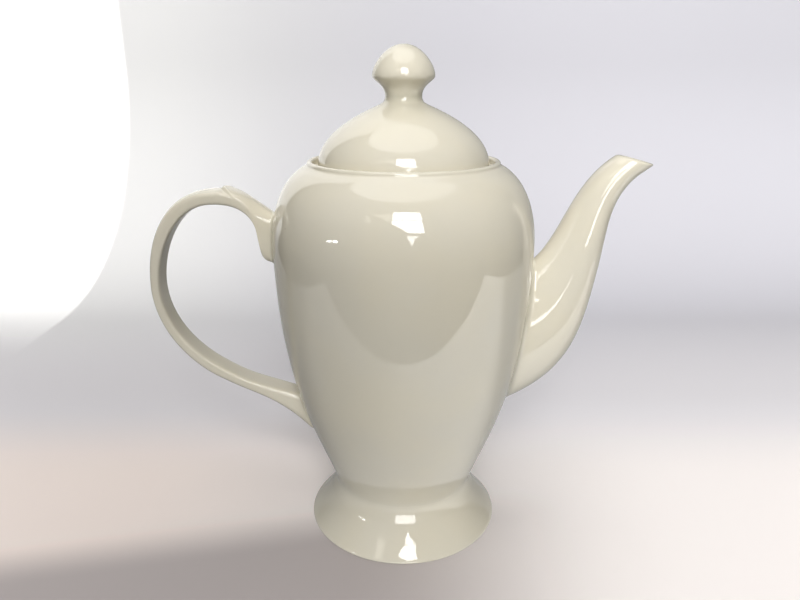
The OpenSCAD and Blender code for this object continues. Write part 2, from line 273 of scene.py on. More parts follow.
def lathe_tree():
    tree = bpy.data.node_groups.new("lathe", "GeometryNodeTree")
    tree.is_modifier = True
    group_input(tree, "NodeSocketGeometry", "Geometry")
    group_input(tree, "NodeSocketInt", "Around", 192)
    group_input(tree, "NodeSocketInt", "Along", 100)
    group_input(tree, "NodeSocketFloat", "Unevenness", 0.1 * MM)
    group_input(tree, "NodeSocketFloat", "Seed", 1.0)
    group_input(tree, "NodeSocketMaterial", "Material")
    tree.interface.new_socket("Geometry", in_out="OUTPUT", socket_type="NodeSocketGeometry")
    net = Net(tree)
    given = tree.nodes.new("NodeGroupInput")
    outline, around, along, uneven, seed, material = (Value(net, s) for s in given.outputs[:6])

    grid = net.node("GeometryNodeMeshGrid", 1.0, 1.0, around + 1, along)
    index = net.node("GeometryNodeInputIndex")
    column = (index / along).math("FLOOR")
    row = index - column * along
    turn = column / around * math.tau
    point = net.node("GeometryNodeSampleIndex", outline, net.node("GeometryNodeInputPosition"), row,
                     data_type="FLOAT_VECTOR", domain="POINT")
    place = net.node("ShaderNodeSeparateXYZ", point)
    radius, height = place, Value(net, place.socket.node.outputs["Z"])
    way = net.node("ShaderNodeCombineXYZ", turn.math("COSINE"), turn.math("SINE"), 0.0)
    # The noise is read on a cylinder of that radius in metres, so that it closes around.
    spot = net.node("ShaderNodeCombineXYZ", turn.math("COSINE") * NOISE_R,
                    turn.math("SINE") * NOISE_R, height)
    noise = net.node("ShaderNodeTexNoise", Vector=spot, W=seed, Scale=26.0, Detail=1.5,
                     noise_dimensions="4D")
    loss = noise * uneven * (radius / (8 * MM)).math("MINIMUM", 1.0)
    flat = net.vector("SCALE", way, radius - loss)
    turned = net.vector("ADD", flat, net.node("ShaderNodeCombineXYZ", 0.0, 0.0, height))
    bent = net.node("GeometryNodeSetPosition", grid, None, turned)
    closed = net.node("GeometryNodeMergeByDistance", bent, True, 2e-6)
    whole = net.node("GeometryNodeRealizeInstances", closed)
    painted = net.node("GeometryNodeSetMaterial", whole, True, material)
    out = tree.nodes.new("NodeGroupOutput")
    tree.links.new(painted.socket, out.inputs[0])
    return tree


def with_tree(name, mesh, tree, **settings):
    """The mesh that the tree makes of the given one, as a new object with no modifier."""
    source = bpy.data.objects.new(name + "_source", mesh)
    scene.collection.objects.link(source)
    modifier = source.modifiers.new("nodes", "NODES")
    modifier.node_group = tree
    sockets = {s.name: s.identifier for s in tree.interface.items_tree
               if s.item_type == "SOCKET" and s.in_out == "INPUT"}
    for key, value in settings.items():
        modifier[sockets[key.replace("_", " ")]] = value
    bpy.context.view_layer.update()
    graph = bpy.context.evaluated_depsgraph_get()
    made = bpy.data.meshes.new_from_object(source.evaluated_get(graph))
    made.name = name
    bpy.data.objects.remove(source)
    piece = bpy.data.objects.new(name, made)
    scene.collection.objects.link(piece)
    return piece


def outward(mesh):
    """Turns the faces outwards if they point inwards."""
    work = bmesh.new()
    work.from_mesh(mesh)
    open_edges = sum(not e.is_manifold for e in work.edges)
    if work.calc_volume(signed=True) < 0:
        bmesh.ops.reverse_faces(work, faces=work.faces)
    work.to_mesh(mesh)
    work.free()
    return open_edges


def finish_piece(piece, body, node, pool_and_shade, bare=None):
    """Smooth faces, the glaze's attributes, and the piece's place in the frame."""
    mesh = piece.data
    open_edges = outward(mesh)
    mesh.shade_smooth()
    mesh.set_sharp_from_angle(angle=math.radians(50))
    places = np.empty(len(mesh.vertices) * 3)
    mesh.vertices.foreach_get("co", places)
    places = places.reshape(-1, 3) / MM
    # Two attributes for the glaze: the darker tint of pooled glaze and painted shade, and the bare
    # clay.
    for name, rule in (("pool_and_shade", pool_and_shade), ("bare", bare)):
        values = np.zeros(len(places)) if rule is None else rule(places)
        data = mesh.attributes.new(name, "FLOAT", "POINT").data
        data.foreach_set("value", values.astype(np.float32))
    mesh.materials.clear()
    mesh.materials.append(GLAZE)
    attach(piece, body)
    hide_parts(node)
    size = (places.max(0) - places.min(0)).round(1).tolist()
    print(f"{piece.name}: {len(mesh.polygons)} faces, {open_edges} open edges, {size} mm")


def turned(name, outline, closed=False, around=192, uneven=0.1, seed=1.0):
    """A piece from the lathe. The outline is in mm; a closed one makes a ring."""
    if closed:
        outline = np.vstack([outline, outline[:1]])
    line = bpy.data.meshes.new(name + "_outline")
    line.from_pydata([(r * MM, 0, z * MM) for r, z in outline],
                     [(i, i + 1) for i in range(len(outline) - 1)], [])
    return with_tree(name, line, LATHE, Around=around, Along=len(outline), Unevenness=uneven * MM,
                     Seed=seed, Material=GLAZE)


LATHE = lathe_tree()

# %% [markdown]
# ## The glaze
#
# A clear, slightly warm glaze over an ivory body, fired glossy. It is thin over edges
# and runs together in creases and joints, where it looks a little greener and darker.
# The same darker tint is also painted shade in those creases and joints and under the
# knob; an attribute on each piece says how much. The foot's standing ring is wiped
# clean before firing, so it stays matt: that is `bare`. Pinholes and specks are few and tiny.


# %% The glaze material
def glaze_material():
    material = bpy.data.materials.new("white_glaze")
    material.use_nodes = True
    tree = material.node_tree
    tree.nodes.clear()
    net = Net(tree)
    place = net.node("ShaderNodeTexCoord", output="Object")
    pool_and_shade = net.node("ShaderNodeAttribute", attribute_name="pool_and_shade", output="Fac")
    bare = net.node("ShaderNodeAttribute", attribute_name="bare", output="Fac")
    cloud = net.node("ShaderNodeTexNoise", Vector=place, Scale=22.0, Detail=3.0)
    fine = net.node("ShaderNodeTexNoise", Vector=place, Scale=190.0, Detail=4.0, Roughness=0.65)
    warm = net.mix(cloud.step(0.35, 0.7), (0.775, 0.735, 0.625), (0.800, 0.750, 0.615))
    mottled = net.mix(fine * 0.10, warm, (0.70, 0.665, 0.55))
    # Glaze pooled in creases and joints, together with painted shade there: a darker, greener tint.
    pooled_and_shaded = net.mix(pool_and_shade * 0.55, mottled, (0.42, 0.41, 0.31))
    cells = net.node("ShaderNodeTexVoronoi", Vector=place, Scale=95.0)
    pick = net.node("ShaderNodeTexVoronoi", Vector=place, Scale=95.0, output="Color")
    chosen = net.node("ShaderNodeSeparateColor", pick).step(0.972, 0.975)
    speck = (1 - cells.step(0.03, 0.075)) * chosen
    specked = net.mix(speck * 0.5, pooled_and_shaded, (0.30, 0.26, 0.18))
    colour = net.mix(bare, specked, (0.66, 0.60, 0.48))
    ripple = net.node("ShaderNodeTexNoise", Vector=place, Scale=48.0, Detail=1.0)
    peel = net.node("ShaderNodeTexNoise", Vector=place, Scale=620.0, Detail=2.0)
    height = ripple + peel * 0.03 - speck * 0.12
    bump = net.node("ShaderNodeBump", Strength=0.16, Distance=0.6 * MM, Height=height)
    shader = net.node("ShaderNodeBsdfPrincipled", **{
        "Base Color": colour, "Roughness": 0.03 + fine * 0.02 + bare * 0.4, "IOR": 1.6,
        "Normal": bump})
    out = tree.nodes.new("ShaderNodeOutputMaterial")
    tree.links.new(shader.socket, out.inputs["Surface"])
    material.diffuse_color = (0.84, 0.8, 0.7, 1)
    return material


GLAZE = glaze_material()


# %% [markdown]
# ## The body
#
# The body is thrown or cast in one piece: a tall vase with a rounded lip, a ledge
# inside the mouth that carries the lid, and a notch in that ledge for the lid's lug.
# A potter pierces the wall behind the spout with a ring of holes, so that the grounds
# stay back, before the spout goes on. The holes and the notch are cut by a second
# tree: a cylinder on each point of a ring, and one box, all taken away at once.


# %% Cutting tree
def cutting_tree():
    tree = bpy.data.node_groups.new("strainer_and_notch", "GeometryNodeTree")
    tree.is_modifier = True
    group_input(tree, "NodeSocketGeometry", "Geometry")
    group_input(tree, "NodeSocketInt", "Holes", 6)
    group_input(tree, "NodeSocketFloat", "Hole Radius", 3 * MM)
    group_input(tree, "NodeSocketFloat", "Pitch", 10 * MM)
    group_input(tree, "NodeSocketVector", "Middle")
    group_input(tree, "NodeSocketVector", "Notch Size")
    group_input(tree, "NodeSocketVector", "Notch Middle")
    group_input(tree, "NodeSocketMaterial", "Material")
    tree.interface.new_socket("Geometry", in_out="OUTPUT", socket_type="NodeSocketGeometry")
    net = Net(tree)
    given = tree.nodes.new("NodeGroupInput")
    mesh, holes, hole_r, pitch, middle, notch_size, notch_at, material = (
        Value(net, s) for s in given.outputs[:8])
    ring = net.node("GeometryNodeMeshCircle", holes, pitch)
    centre = net.node("GeometryNodeMeshLine", 1)
    points = tree.nodes.new("GeometryNodeJoinGeometry")
    tree.links.new(ring.socket, points.inputs[0])
    tree.links.new(centre.socket, points.inputs[0])
    drill = net.node("GeometryNodeMeshCylinder", 40, 1, 1, hole_r, 60 * MM)
    drills = net.node("GeometryNodeInstanceOnPoints", Value(net, points.outputs[0]), None, drill)
    turned_drills = net.node("GeometryNodeTransform", drills, None, middle, (0.0, math.pi / 2, 0.0))
    box = net.node("GeometryNodeMeshCube", notch_size)
    notch = net.node("GeometryNodeTransform", box, None, notch_at)
    whole = net.node("GeometryNodeRealizeInstances", turned_drills)
    cut = tree.nodes.new("GeometryNodeMeshBoolean")
    cut.operation = "DIFFERENCE"
    tree.links.new(mesh.socket, cut.inputs["Mesh 1"])
    tree.links.new(whole.socket, cut.inputs["Mesh 2"])
    tree.links.new(notch.socket, cut.inputs["Mesh 2"])
    real = net.node("GeometryNodeRealizeInstances", Value(net, cut.outputs[0]))
    painted = net.node("GeometryNodeSetMaterial", real, True, material)
    out = tree.nodes.new("NodeGroupOutput")
    tree.links.new(painted.socket, out.inputs[0])
    return tree


# %% The pot's body
def near(points, line, reach):
    """1 on the line of points and less further away, with that reach in mm."""
    nearest = np.full(len(points), 1e9)
    for p in line:
        nearest = np.minimum(nearest, ((points - p) ** 2).sum(1))
    return np.exp(-np.sqrt(nearest) / reach)


# Glaze pooled in the crease at the waist, with painted shade in that crease.
def waist_pool_and_shade(points):
    return 0.22 * np.exp(-((points[:, 2] - WAIST[1] - 0.8) / 2.2) ** 2)


WALL, FLOOR_Z = 4, 29
LIP_R, LIP_Z, LIP_HALF = 45.3, 194.3, 1.4  # the middle of the lip's round, and its radius
SEAT_R, LEDGE_R = 43.9, 37  # around the lid's edge, and the ledge's inner edge
HOLE_R, HOLE_PITCH = 3, 10
half_circle = np.radians(np.linspace(0, 180, 17))
lip = np.stack([LIP_R + LIP_HALF * np.cos(half_circle), LIP_Z + LIP_HALF * np.sin(half_circle)], 1)
wall = inset(BODY_SIDE, WALL)
wall = wall[(wall[:, 1] > 33) & (wall[:, 1] < 185.7) & (wall[:, 0] > 33)][::-2]
ledge = softened([(SEAT_R, LIP_Z), (SEAT_R, LEDGE_Z), (LEDGE_R, LEDGE_Z), (LEDGE_R, 187.7),
                  wall[0]], 0.8)
low = wall[-1]
floor_curve = bezier(low, (-1, -3), (5, 0), (low[0] - 10, FLOOR_Z), 8)
outline = np.vstack([
    filled(np.array([(0, WAIST[1]), JOINED[JOINT]]), 4)[:-1], JOINED[JOINT:-1:2],
    BODY_SIDE[BLEND:], lip[1:], ledge[1:-1], wall, floor_curve,
    filled(np.array([floor_curve[-1], (0, FLOOR_Z)]), 4)[1:]])
pot_shell = turned("pot_shell", outline, around=256, uneven=0.16, seed=3.1)
pot_body = with_tree(
    "pot_body", pot_shell.data, cutting_tree(), Holes=6, Hole_Radius=HOLE_R * MM,
    Pitch=HOLE_PITCH * MM, Middle=(58 * MM, 0, 106.5 * MM),
    Notch_Size=(6.4 * MM, 16.8 * MM, 5.6 * MM),
    Notch_Middle=(37.5 * MM, 0, 189.5 * MM), Material=GLAZE)
bpy.data.objects.remove(pot_shell)
print("body outline:", len(outline), "points")

# %% [markdown]
# ## The spout
#
# A cast spout: wide and drop-shaped where it leaves the body, then a narrowing neck
# that curves up to a mouth cut at a slant. Its two rails are its lower and upper
# outlines, and each section is an egg shape between them, fuller below. It is luted onto
# the wall with slip, and the finger that wipes the seam leaves a small hollow curve all
# round.

# %% Lofts
ROOT_SINK = 0.4  # how far the roots of spout and handle reach into the wall
ROOT_DEPTH = 5.2  # where their outlines start, inside the body's surface
SPOUT_SEAM, HANDLE_SEAM = 2.6, 1.8  # radii of the wiped seams


def loft_mesh(name, lines, closed_along):
    """A mesh of the lines (first axis) that lie side by side around a piece."""
    around, along = lines.shape[:2]
    points = [tuple(p * MM) for p in lines.reshape(-1, 3)]
    index = np.arange(around * along).reshape(around, along)
    nxt = np.roll(index, -1, 0)
    last = along if closed_along else along - 1
    faces = [(index[i, k], index[i, (k + 1) % along], nxt[i, (k + 1) % along], nxt[i, k])
             for i in range(around) for k in range(last)]
    if not closed_along:
        faces += [tuple(index[:, 0]), tuple(index[::-1, -1])]
    mesh = bpy.data.meshes.new(name)
    mesh.from_pydata(points, [], [tuple(int(v) for v in f) for f in faces])
    mesh.validate()
    piece = bpy.data.objects.new(name, mesh)
    scene.collection.objects.link(piece)
    return piece


def resampled(line, where):
    """The polyline at those shares of its length."""
    run = np.concatenate([[0], np.cumsum(np.linalg.norm(np.diff(line, axis=0), axis=1))])
    return np.stack([np.interp(where * run[-1], run, line[:, k]) for k in range(3)], 1)


def trimmed(line, sink=ROOT_SINK):
    """The part of a line, from its start, that stands outside the body, and a little of
    what is in the wall."""
    depth = body_depth(line) + sink
    first = np.nonzero(depth < 0)[0].max()
    share = -depth[first] / (depth[first + 1] - depth[first])
    return np.vstack([line[first] + share * (line[first + 1] - line[first]), line[first + 1:]])


def flared(lines, outwards, radius):
    """Lines pushed sideways where they come near the body, as a wiped seam does."""
    depth = np.clip(body_depth(lines), 0, radius)
    push = radius - np.sqrt(radius ** 2 - (radius - depth) ** 2)
    normal = body_normal(lines)
    along_wall = outwards - (outwards * normal).sum(-1)[..., None] * normal
    along_wall /= np.maximum(np.linalg.norm(along_wall, axis=-1), 0.25)[..., None]
    return lines + push[..., None] * along_wall


def outwards_of(lines):
    """Unit vectors that point out of a bundle of lines, square to the way they run."""
    way = np.gradient(lines, axis=1)
    side = np.roll(lines, -1, 0) - np.roll(lines, 1, 0)
    out = np.cross(side, way)
    out /= np.linalg.norm(out, axis=-1)[..., None]
    middle = lines.mean(0)[None]
    return out * np.sign(((lines - middle) * out).sum(-1).mean())


def denser_start(count, power=1.7):
    return np.linspace(0, 1, count) ** power


# %% The spout
KNEE, TIP, MOUTH_BACK = (98.3, 140.8), (121.2, 193.4), (103.4, 198.0)
ROOT_WIDTH, MOUTH_WIDTH, SPOUT_WALL = 34, 17, 3.0
low_root = (body_radius(66.5) - ROOT_DEPTH, 66.5)
top_root = (body_radius(141.0) - ROOT_DEPTH, 141.0)
under = chain(low_root, ((41.7, 15.7), (-5.7, -33.4), KNEE, 200),
              ((4, 23.6), (-21.6, -12.5), TIP, 200))
over = chain(top_root, ((20.3, 11.1), (-24.3, -15.4), MOUTH_BACK, 400))


def spout_lines(angles, shrink):
    """One line for each angle around the spout; shrink is taken off all round."""
    t = np.linspace(0, 2, len(under))
    width = MOUTH_WIDTH + (ROOT_WIDTH - MOUTH_WIDTH) * (1 - t / 2) ** 1.8 - 2 * shrink
    across = over - under
    way = across / np.linalg.norm(across, axis=1)[:, None]
    a, b = under + shrink * way, over - shrink * way
    middle, half = (a + b) / 2, (b - a) / 2
    egg = 0.04 + 0.2 * (1 - t / 2)
    lines = []
    for angle in angles:
        flat = middle + half * math.cos(angle)
        side = math.sin(angle) * (1 - egg * math.cos(angle)) / (1 + egg ** 2 / 2)
        lines.append(np.stack([flat[:, 0], width / 2 * side, flat[:, 1]], 1))
    return np.array(lines)


def spout_piece(around=96, along=190, inside=90):
    angles = (np.arange(around) + 0.5) * math.tau / around
    outer = np.array([resampled(trimmed(line), denser_start(along, 1.35))
                      for line in spout_lines(angles, 0)])
    outer = flared(outer, outwards_of(outer), SPOUT_SEAM)
    inner = np.array([resampled(trimmed(line), denser_start(inside, 1.0))
                      for line in spout_lines(angles, SPOUT_WALL)])
    # The lip is half a circle from the outside to the inside of the wall.
    end_out, end_in = outer[:, -1], inner[:, -1]
    way = outer[:, -1] - outer[:, -4]
    way /= np.linalg.norm(way, axis=1)[:, None]
    middle, half = (end_out + end_in) / 2, (end_out - end_in) / 2
    back = 1.5
    bend = np.linspace(0, math.pi, 12)
    edge = [middle + half * math.cos(a) - way * back * (1 - math.sin(a)) for a in bend]
    outer, inner = outer[:, :-9], inner[:, :-4]
    lines = np.concatenate([outer, np.stack(edge, 1), inner[:, ::-1]], 1)
    return loft_mesh("spout", lines, closed_along=True), outer[:, 0]


spout, spout_root = spout_piece()

# %% [markdown]
# ## The handle
#
# A strap handle shaped like an ear. Its upper end is thickened like a leaf that wraps
# the strap and ends in a point at the thumb rest, its lower end is drawn out into a
# small tail. Both ends are luted on like the spout. The strap is pressed in a mould,
# so its sides are full and soft, with a slight edge on each side.

# %% The handle
THUMB, STEP_OUT, STEP_IN = (-88.6, 183.0), (-91.6, 181.6), (-92.2, 174.5)
BACK, BACK_IN, BEND, BEND_IN = (-128.26, 132.0), (-123.0, 132.0), (-94.0, 80.3), (-97.0, 89.6)
top_end = (ROOT_DEPTH - body_radius(166.0), 166.0)
tail_end = (ROOT_DEPTH - body_radius(145.3), 145.3)
TAIL = (-70.5, 151.0)
tip_end = (ROOT_DEPTH - body_radius(49.5), 49.5)
arm_end = (ROOT_DEPTH - body_radius(69.0), 69.0)
TIP_OUT = (tip_end[0] - 9, tip_end[1] + 2.4)
ARM_IN = (arm_end[0] - 5.5, arm_end[1] + 3)
STRETCH = 150

outside = chain(
    top_end, ((-13.1, 8.3), (11.9, -2.7), THUMB, 2 * STRETCH),
    ((-0.8, 0.1), (0.8, 0.0), STEP_OUT, 12),
    ((-27.3, 0), (0, 23.1), BACK, STRETCH), ((0, -20.7), (-20.4, 9.8), BEND, STRETCH),
    ((15.9, -8.6), (-16.8, 19.1), TIP_OUT, STRETCH),
    ((1.6, -2), (-3.4, -0.5), (tip_end[0] - 2, tip_end[1]), STRETCH // 2))
inside = chain(
    tail_end, ((-6, -0.7), (0, -5.8), TAIL, STRETCH), ((0, 19.1), (11.3, 0), STEP_IN, STRETCH),
    ((-0.3, 0), (0.3, 0), (STEP_IN[0] - 1, STEP_IN[1]), 12),
    ((-18.6, 0), (0, 18.1), BACK_IN, STRETCH), ((0, -17.1), (-15.6, 10), BEND_IN, STRETCH),
    ((17.1, -11), (-22.9, 7.9), ARM_IN, STRETCH), ((3, -1), (-1, 1), arm_end, STRETCH // 2))
# A stage says how far along the handle a point is: the thumb rest is at 2, the outermost
# point at 3, the bend at 4, and the root of the lower arm at 5.
stage_at = np.concatenate([
    np.linspace(0, 2, 2 * STRETCH + 1), np.linspace(2, 2.02, 13)[1:],
    np.linspace(2.02, 3, STRETCH + 1)[1:], np.linspace(3, 4, STRETCH + 1)[1:],
    np.linspace(4, 5, STRETCH + 1)[1:], np.linspace(5, 5.5, STRETCH // 2 + 1)[1:]])


def smooth(x, low, high):
    x = np.clip((x - low) / (high - low), 0, 1)
    return x * x * (3 - 2 * x)


def handle_lines(angles):
    """Lines along the handle. Angle 0 is its outside and pi its inside."""
    width = np.interp(stage_at, [0, 1, 2, 3, 4, 5, 5.5], [13, 15, 15, 13.5, 13, 14.5, 9])
    middle, half = (outside + inside) / 2, (outside - inside) / 2
    out = half / np.linalg.norm(half, axis=1)[:, None]
    lines = []
    for angle in angles:
        c, s = math.cos(angle), math.sin(angle)
        # Rounded outside, and a flatter inside with an edge on both sides.
        power = 0.66 if c > 0 else 0.36
        u, v = math.copysign(abs(c) ** power, c), math.copysign(abs(s) ** power, s)
        lead = abs(math.atan2(s, c)) / (math.pi / 2)
        # The leaf ends in a point at the thumb rest, and its edges sweep back from there.
        end = 2.0 - 0.42 * lead
        leaf = 1 - smooth(stage_at, end - 0.03, end + 0.03)
        drop = 1.5 * smooth(stage_at, 0.9, 1.95) * (1 - smooth(stage_at, 2.0, 2.02)) * (1 - leaf)
        rim = 0.28 * np.exp(-((stage_at - end + 0.07) / 0.045) ** 2)
        # Two shallow lengthwise furrows run on from the point and fade.
        furrow = 0.4 * math.exp(-((lead - 0.4) / 0.11) ** 2)
        furrow = furrow * smooth(stage_at, 2.0, 2.06) * (1 - smooth(stage_at, 2.2, 2.75))
        push = np.clip(u, 0, 1) * (rim - drop - furrow)
        flat = middle + half * u + out * push[:, None]
        lines.append(np.stack([flat[:, 0], width / 2 * v, flat[:, 1]], 1))
    return np.array(lines)


def handle_stages(first, last, count):
    """Stages from first to last, closer together at both ends and at the thumb rest."""
    s = np.linspace(first, last, 3000)
    density = (1 + 6 * np.exp(-((s - 1.9) / 0.22) ** 2) + 4 * np.exp((first - s) / 0.12)
               + 4 * np.exp((s - last) / 0.12))
    run = np.cumsum(density)
    return np.interp(np.linspace(run[0], run[-1], count), run, s)


def handle_piece(around=80, along=440):
    angles = (np.arange(around) + 0.5) * math.tau / around
    lines = []
    for line in handle_lines(angles):
        buried = body_depth(line) < -ROOT_SINK
        first = stage_at[np.nonzero(buried & (stage_at < 2))[0].max()]
        last = stage_at[np.nonzero(buried & (stage_at > 4))[0].min()]
        stages = handle_stages(first, last, along)
        lines.append(np.stack([np.interp(stages, stage_at, line[:, k]) for k in range(3)], 1))
    lines = np.array(lines)
    lines = flared(lines, outwards_of(lines), HANDLE_SEAM)
    return loft_mesh("handle", lines, closed_along=False), lines[:, 0], lines[:, -1]


handle, handle_root, handle_foot = handle_piece()

# %% The pot's pieces in the frame
# The darker tint near the seams of spout and handle is glaze pooled there and painted shade where
# the parts meet.
SEAM_POOL_AND_SHADE, POOL_AND_SHADE_REACH = 0.7, 1.6
HANDLE_DULL = 0.12
seams = np.vstack([spout_root, handle_root, handle_foot])
finish_piece(pot_body, "pot", "pot_body",
             lambda p: np.maximum(waist_pool_and_shade(p), SEAM_POOL_AND_SHADE * near(p, seams, POOL_AND_SHADE_REACH)))


# On the spout and the handle the same tint fades away from the body's wall: pooled glaze and
# painted shade at the seam.
def seam_pool_and_shade(points):
    return SEAM_POOL_AND_SHADE * np.exp(-np.clip(body_depth(points), 0, None) / POOL_AND_SHADE_REACH)


finish_piece(spout, "pot", "spout", seam_pool_and_shade)
finish_piece(handle, "pot", "handle", seam_pool_and_shade,
             bare=lambda p: np.full(len(p), HANDLE_DULL))

# %% [markdown]
# ## The foot
#
# The foot is turned as a hollow flare and luted under the body. It stands on a narrow
# ring at its rounded edge.

# %% The foot
FOOT_WALL, FOOT_BORE = 5, 32.2
inner_top = (FOOT_BORE, WAIST[1])
flare_in = inset(FLARE, FOOT_WALL)
height_in = flare_in[:, 1]
flare_in = flare_in[(height_in > 3.6) & (height_in < 23.5) & (flare_in[:, 0] > FOOT_BORE)][::-2]
inner_side = softened([inner_top, *flare_in, (46, 0), (48, 0)], 1.0, 4)
foot_outline = np.vstack([
    FOOT_EDGE, JOINED[1:JOINT:2], filled(np.array([JOINED[JOINT], inner_top]), 2)[:-1], inner_side])
foot = turned("foot", foot_outline, closed=True, around=224, uneven=0.08, seed=7.4)
finish_piece(foot, "pot", "foot", waist_pool_and_shade,
             bare=lambda p: (p[:, 2] < 0.35) * 1.0)

# %% [markdown]
# ## The lid
#
# The dome is turned hollow and drops onto the ledge in the mouth. A flange under it
# keeps it centred, and a lug on the flange catches under the ledge when the pot is
# tipped. A small hole at the back lets air in while the coffee runs out.


# %% The lid
NECK = (8.8, 225)
FLANGE_IN, FLANGE_OUT, FLANGE_LOW = 32.6, 36, 180.1


# Glaze pooled at the neck between dome and knob, and painted shade under the knob.
def neck_pool_and_shade(points):
    return 0.8 * np.exp(-np.abs(points[:, 2] - NECK[1]) / 3.5)


def cut_away(piece, cutter):
    """Takes the cutter out of the piece."""
    modifier = piece.modifiers.new("cut", "BOOLEAN")
    modifier.object, modifier.operation = cutter, "DIFFERENCE"
    graph = bpy.context.evaluated_depsgraph_get()
    mesh = bpy.data.meshes.new_from_object(piece.evaluated_get(graph))
    piece.modifiers.clear()
    piece.data = mesh
    bpy.data.objects.remove(cutter)


DOME_EDGE = (41.2, 193.4)
VENT_AT, VENT_R = 20, 2  # from the axis, and its radius
dome = chain(DOME_EDGE, ((0, 15.7), (5.4, -2.5), (12, 221), 72),
             ((-1.8, 0.9), (0, -2.6), NECK, 12))
hollow = inset(dome, WALL)
hollow = hollow[(hollow[:, 1] > 196.1) & (hollow[:, 0] > 4.4) & (hollow[:, 1] < 221)]
lid_outline = np.vstack([
    softened([(FLANGE_IN, LEDGE_Z), (DOME_EDGE[0], LEDGE_Z), DOME_EDGE], 0.9)[:-1], dome,
    filled(np.array([NECK, (0, NECK[1])]), 2)[1:],
    filled(np.array([(0, hollow[-1][1]), hollow[-1]]), 2)[:-1], hollow[::-2],
    [(FLANGE_IN, 194.1)]])
lid = turned("lid", lid_outline, closed=True, around=224, uneven=0.1, seed=11.7)
drill_mesh = bpy.data.meshes.new("vent_drill")
work = bmesh.new()
bmesh.ops.create_cone(work, segments=40, radius1=VENT_R * MM, radius2=VENT_R * MM,
                      depth=16 * MM, cap_ends=True)
work.to_mesh(drill_mesh)
work.free()
drill = bpy.data.objects.new("vent_drill", drill_mesh)
scene.collection.objects.link(drill)
vent_z = float(np.interp(-VENT_AT, -dome[:, 0], dome[:, 1]))
drill.matrix_world = (Matrix.Rotation(math.radians(115), 4, "Z")
                      @ Matrix.Translation((VENT_AT * MM, 0, vent_z * MM))
                      @ Matrix.Rotation(math.radians(26), 4, "Y"))
bpy.context.view_layer.update()
cut_away(lid, drill)
finish_piece(lid, "lid", "lid", neck_pool_and_shade,
             bare=lambda p: (p[:, 2] < LEDGE_Z + 0.05) * 1.0)

# %% The flange and the lug
flange_outline = softened([
    (34, LEDGE_Z), (FLANGE_OUT, LEDGE_Z), (FLANGE_OUT, FLANGE_LOW), (FLANGE_IN, FLANGE_LOW),
    (FLANGE_IN, LEDGE_Z), (34, LEDGE_Z)], 0.7)[:-1]
flange = turned("lid_flange", filled(flange_outline, 2), closed=True, uneven=0.05, seed=13.0)
# The darker tint where the flange meets the lid is pooled glaze and painted shade in the joint.
finish_piece(flange, "lid", "lid_flange",
             lambda p: 0.4 * np.exp(-np.abs(p[:, 2] - LEDGE_Z) / 1.2))


LUG_IN, LUG_OUT, LUG_LOW, LUG_TOP = 35.9, 40, 180.9, 185.3


def lug_piece():
    """A block that follows the flange, rounded on its free edges."""
    section = softened([
        (LUG_IN, 181.1), (LUG_IN, LUG_LOW), (LUG_OUT, LUG_LOW), (LUG_OUT, LUG_TOP),
        (LUG_IN, LUG_TOP), (LUG_IN, 181.1)], 0.9, 6)[:-1]
    middle = np.array([FLANGE_OUT, (LUG_LOW + LUG_TOP) / 2])
    turns = np.radians(np.linspace(-11, 11, 40))
    lines = []
    for turn in turns:
        end = 1 - abs(turn) / turns[-1]
        size = 0.72 + 0.28 * math.sqrt(1 - (1 - min(1, end / 0.12)) ** 2)
        ring = middle + (section - middle) * size
        ring[:, 0] = np.maximum(ring[:, 0], LUG_IN)
        lines.append([(r * math.cos(turn), r * math.sin(turn), z) for r, z in ring])
    return loft_mesh("lid_lug", np.array(lines).transpose(1, 0, 2), closed_along=False)


lug = lug_piece()
# The darker tint where the lug meets the flange is pooled glaze and painted shade in the joint.
finish_piece(lug, "lid", "lid_lug",
             lambda p: 0.5 * np.exp((FLANGE_OUT - np.hypot(p[:, 0], p[:, 1])) / 0.8))

# %% [markdown]
# ## The knob
#
# A mushroom knob, turned from a solid piece and set on the dome's neck.

# %% The knob
knob_side = chain(NECK, ((0, 5.6), (0, -2.6), (14.75, 234.1), 30),
                  ((0, 4.5), (8.6, 0), (0, 247.99), 44))
knob_outline = np.vstack([filled(np.array([(0, NECK[1]), NECK]), 2)[:-1], knob_side])
knob = turned("knob", knob_outline, around=160, uneven=0.08, seed=17.3)
finish_piece(knob, "lid", "knob", neck_pool_and_shade)

# %% [markdown]
# ## The table and the backdrop
#
# A pale sheet that lies on the table and rises behind the pot. The camera, the glaze and
# the soft light each get their own colours of it, told apart by the kind of ray. For the
# glaze the sheet ends at the table's front edge, a good way in front of the foot, and its
# edge is what draws the dark shield on the belly.


# %% The sheet
SHEET_X, SHEET_FRONT, SHEET_TOP = 1.6, -0.75, 1.6
BEND_Y, BEND_R = 0.30, 0.25  # where the sheet starts to rise, and the radius of its bend
SHEET_LOW = 0.0001  # below the pot's foot, so that the two don't share a plane


def sheet_piece():
    """A sheet that is flat under the pot and curves up behind it."""
    turns = np.radians(np.linspace(5, 90, 18))
    bend = [(BEND_Y + BEND_R * math.sin(a), BEND_R - BEND_R * math.cos(a)) for a in turns]
    side = [(SHEET_FRONT, 0.0), (BEND_Y, 0.0), *bend, (BEND_Y + BEND_R, SHEET_TOP)]
    points, faces = [], []
    for y, z in side:
        points += [(-SHEET_X, y, z - SHEET_LOW), (SHEET_X, y, z - SHEET_LOW)]
    for i in range(len(side) - 1):
        faces.append((2 * i, 2 * i + 1, 2 * i + 3, 2 * i + 2))
    mesh = bpy.data.meshes.new("sheet")
    mesh.from_pydata(points, [], faces)
    mesh.shade_smooth()
    piece = bpy.data.objects.new("sheet", mesh)
    scene.collection.objects.link(piece)
    return piece


# The sheet's emission strength. Its colour holds the share of it that a place has.
GLOW = 3.0
SHEET_MID, SHEET_HALF = 0.03, 0.4975  # what the glaze mirrors of the sheet, across
TABLE_EDGE = -0.218


def grey(value):
    return (value, value, value)


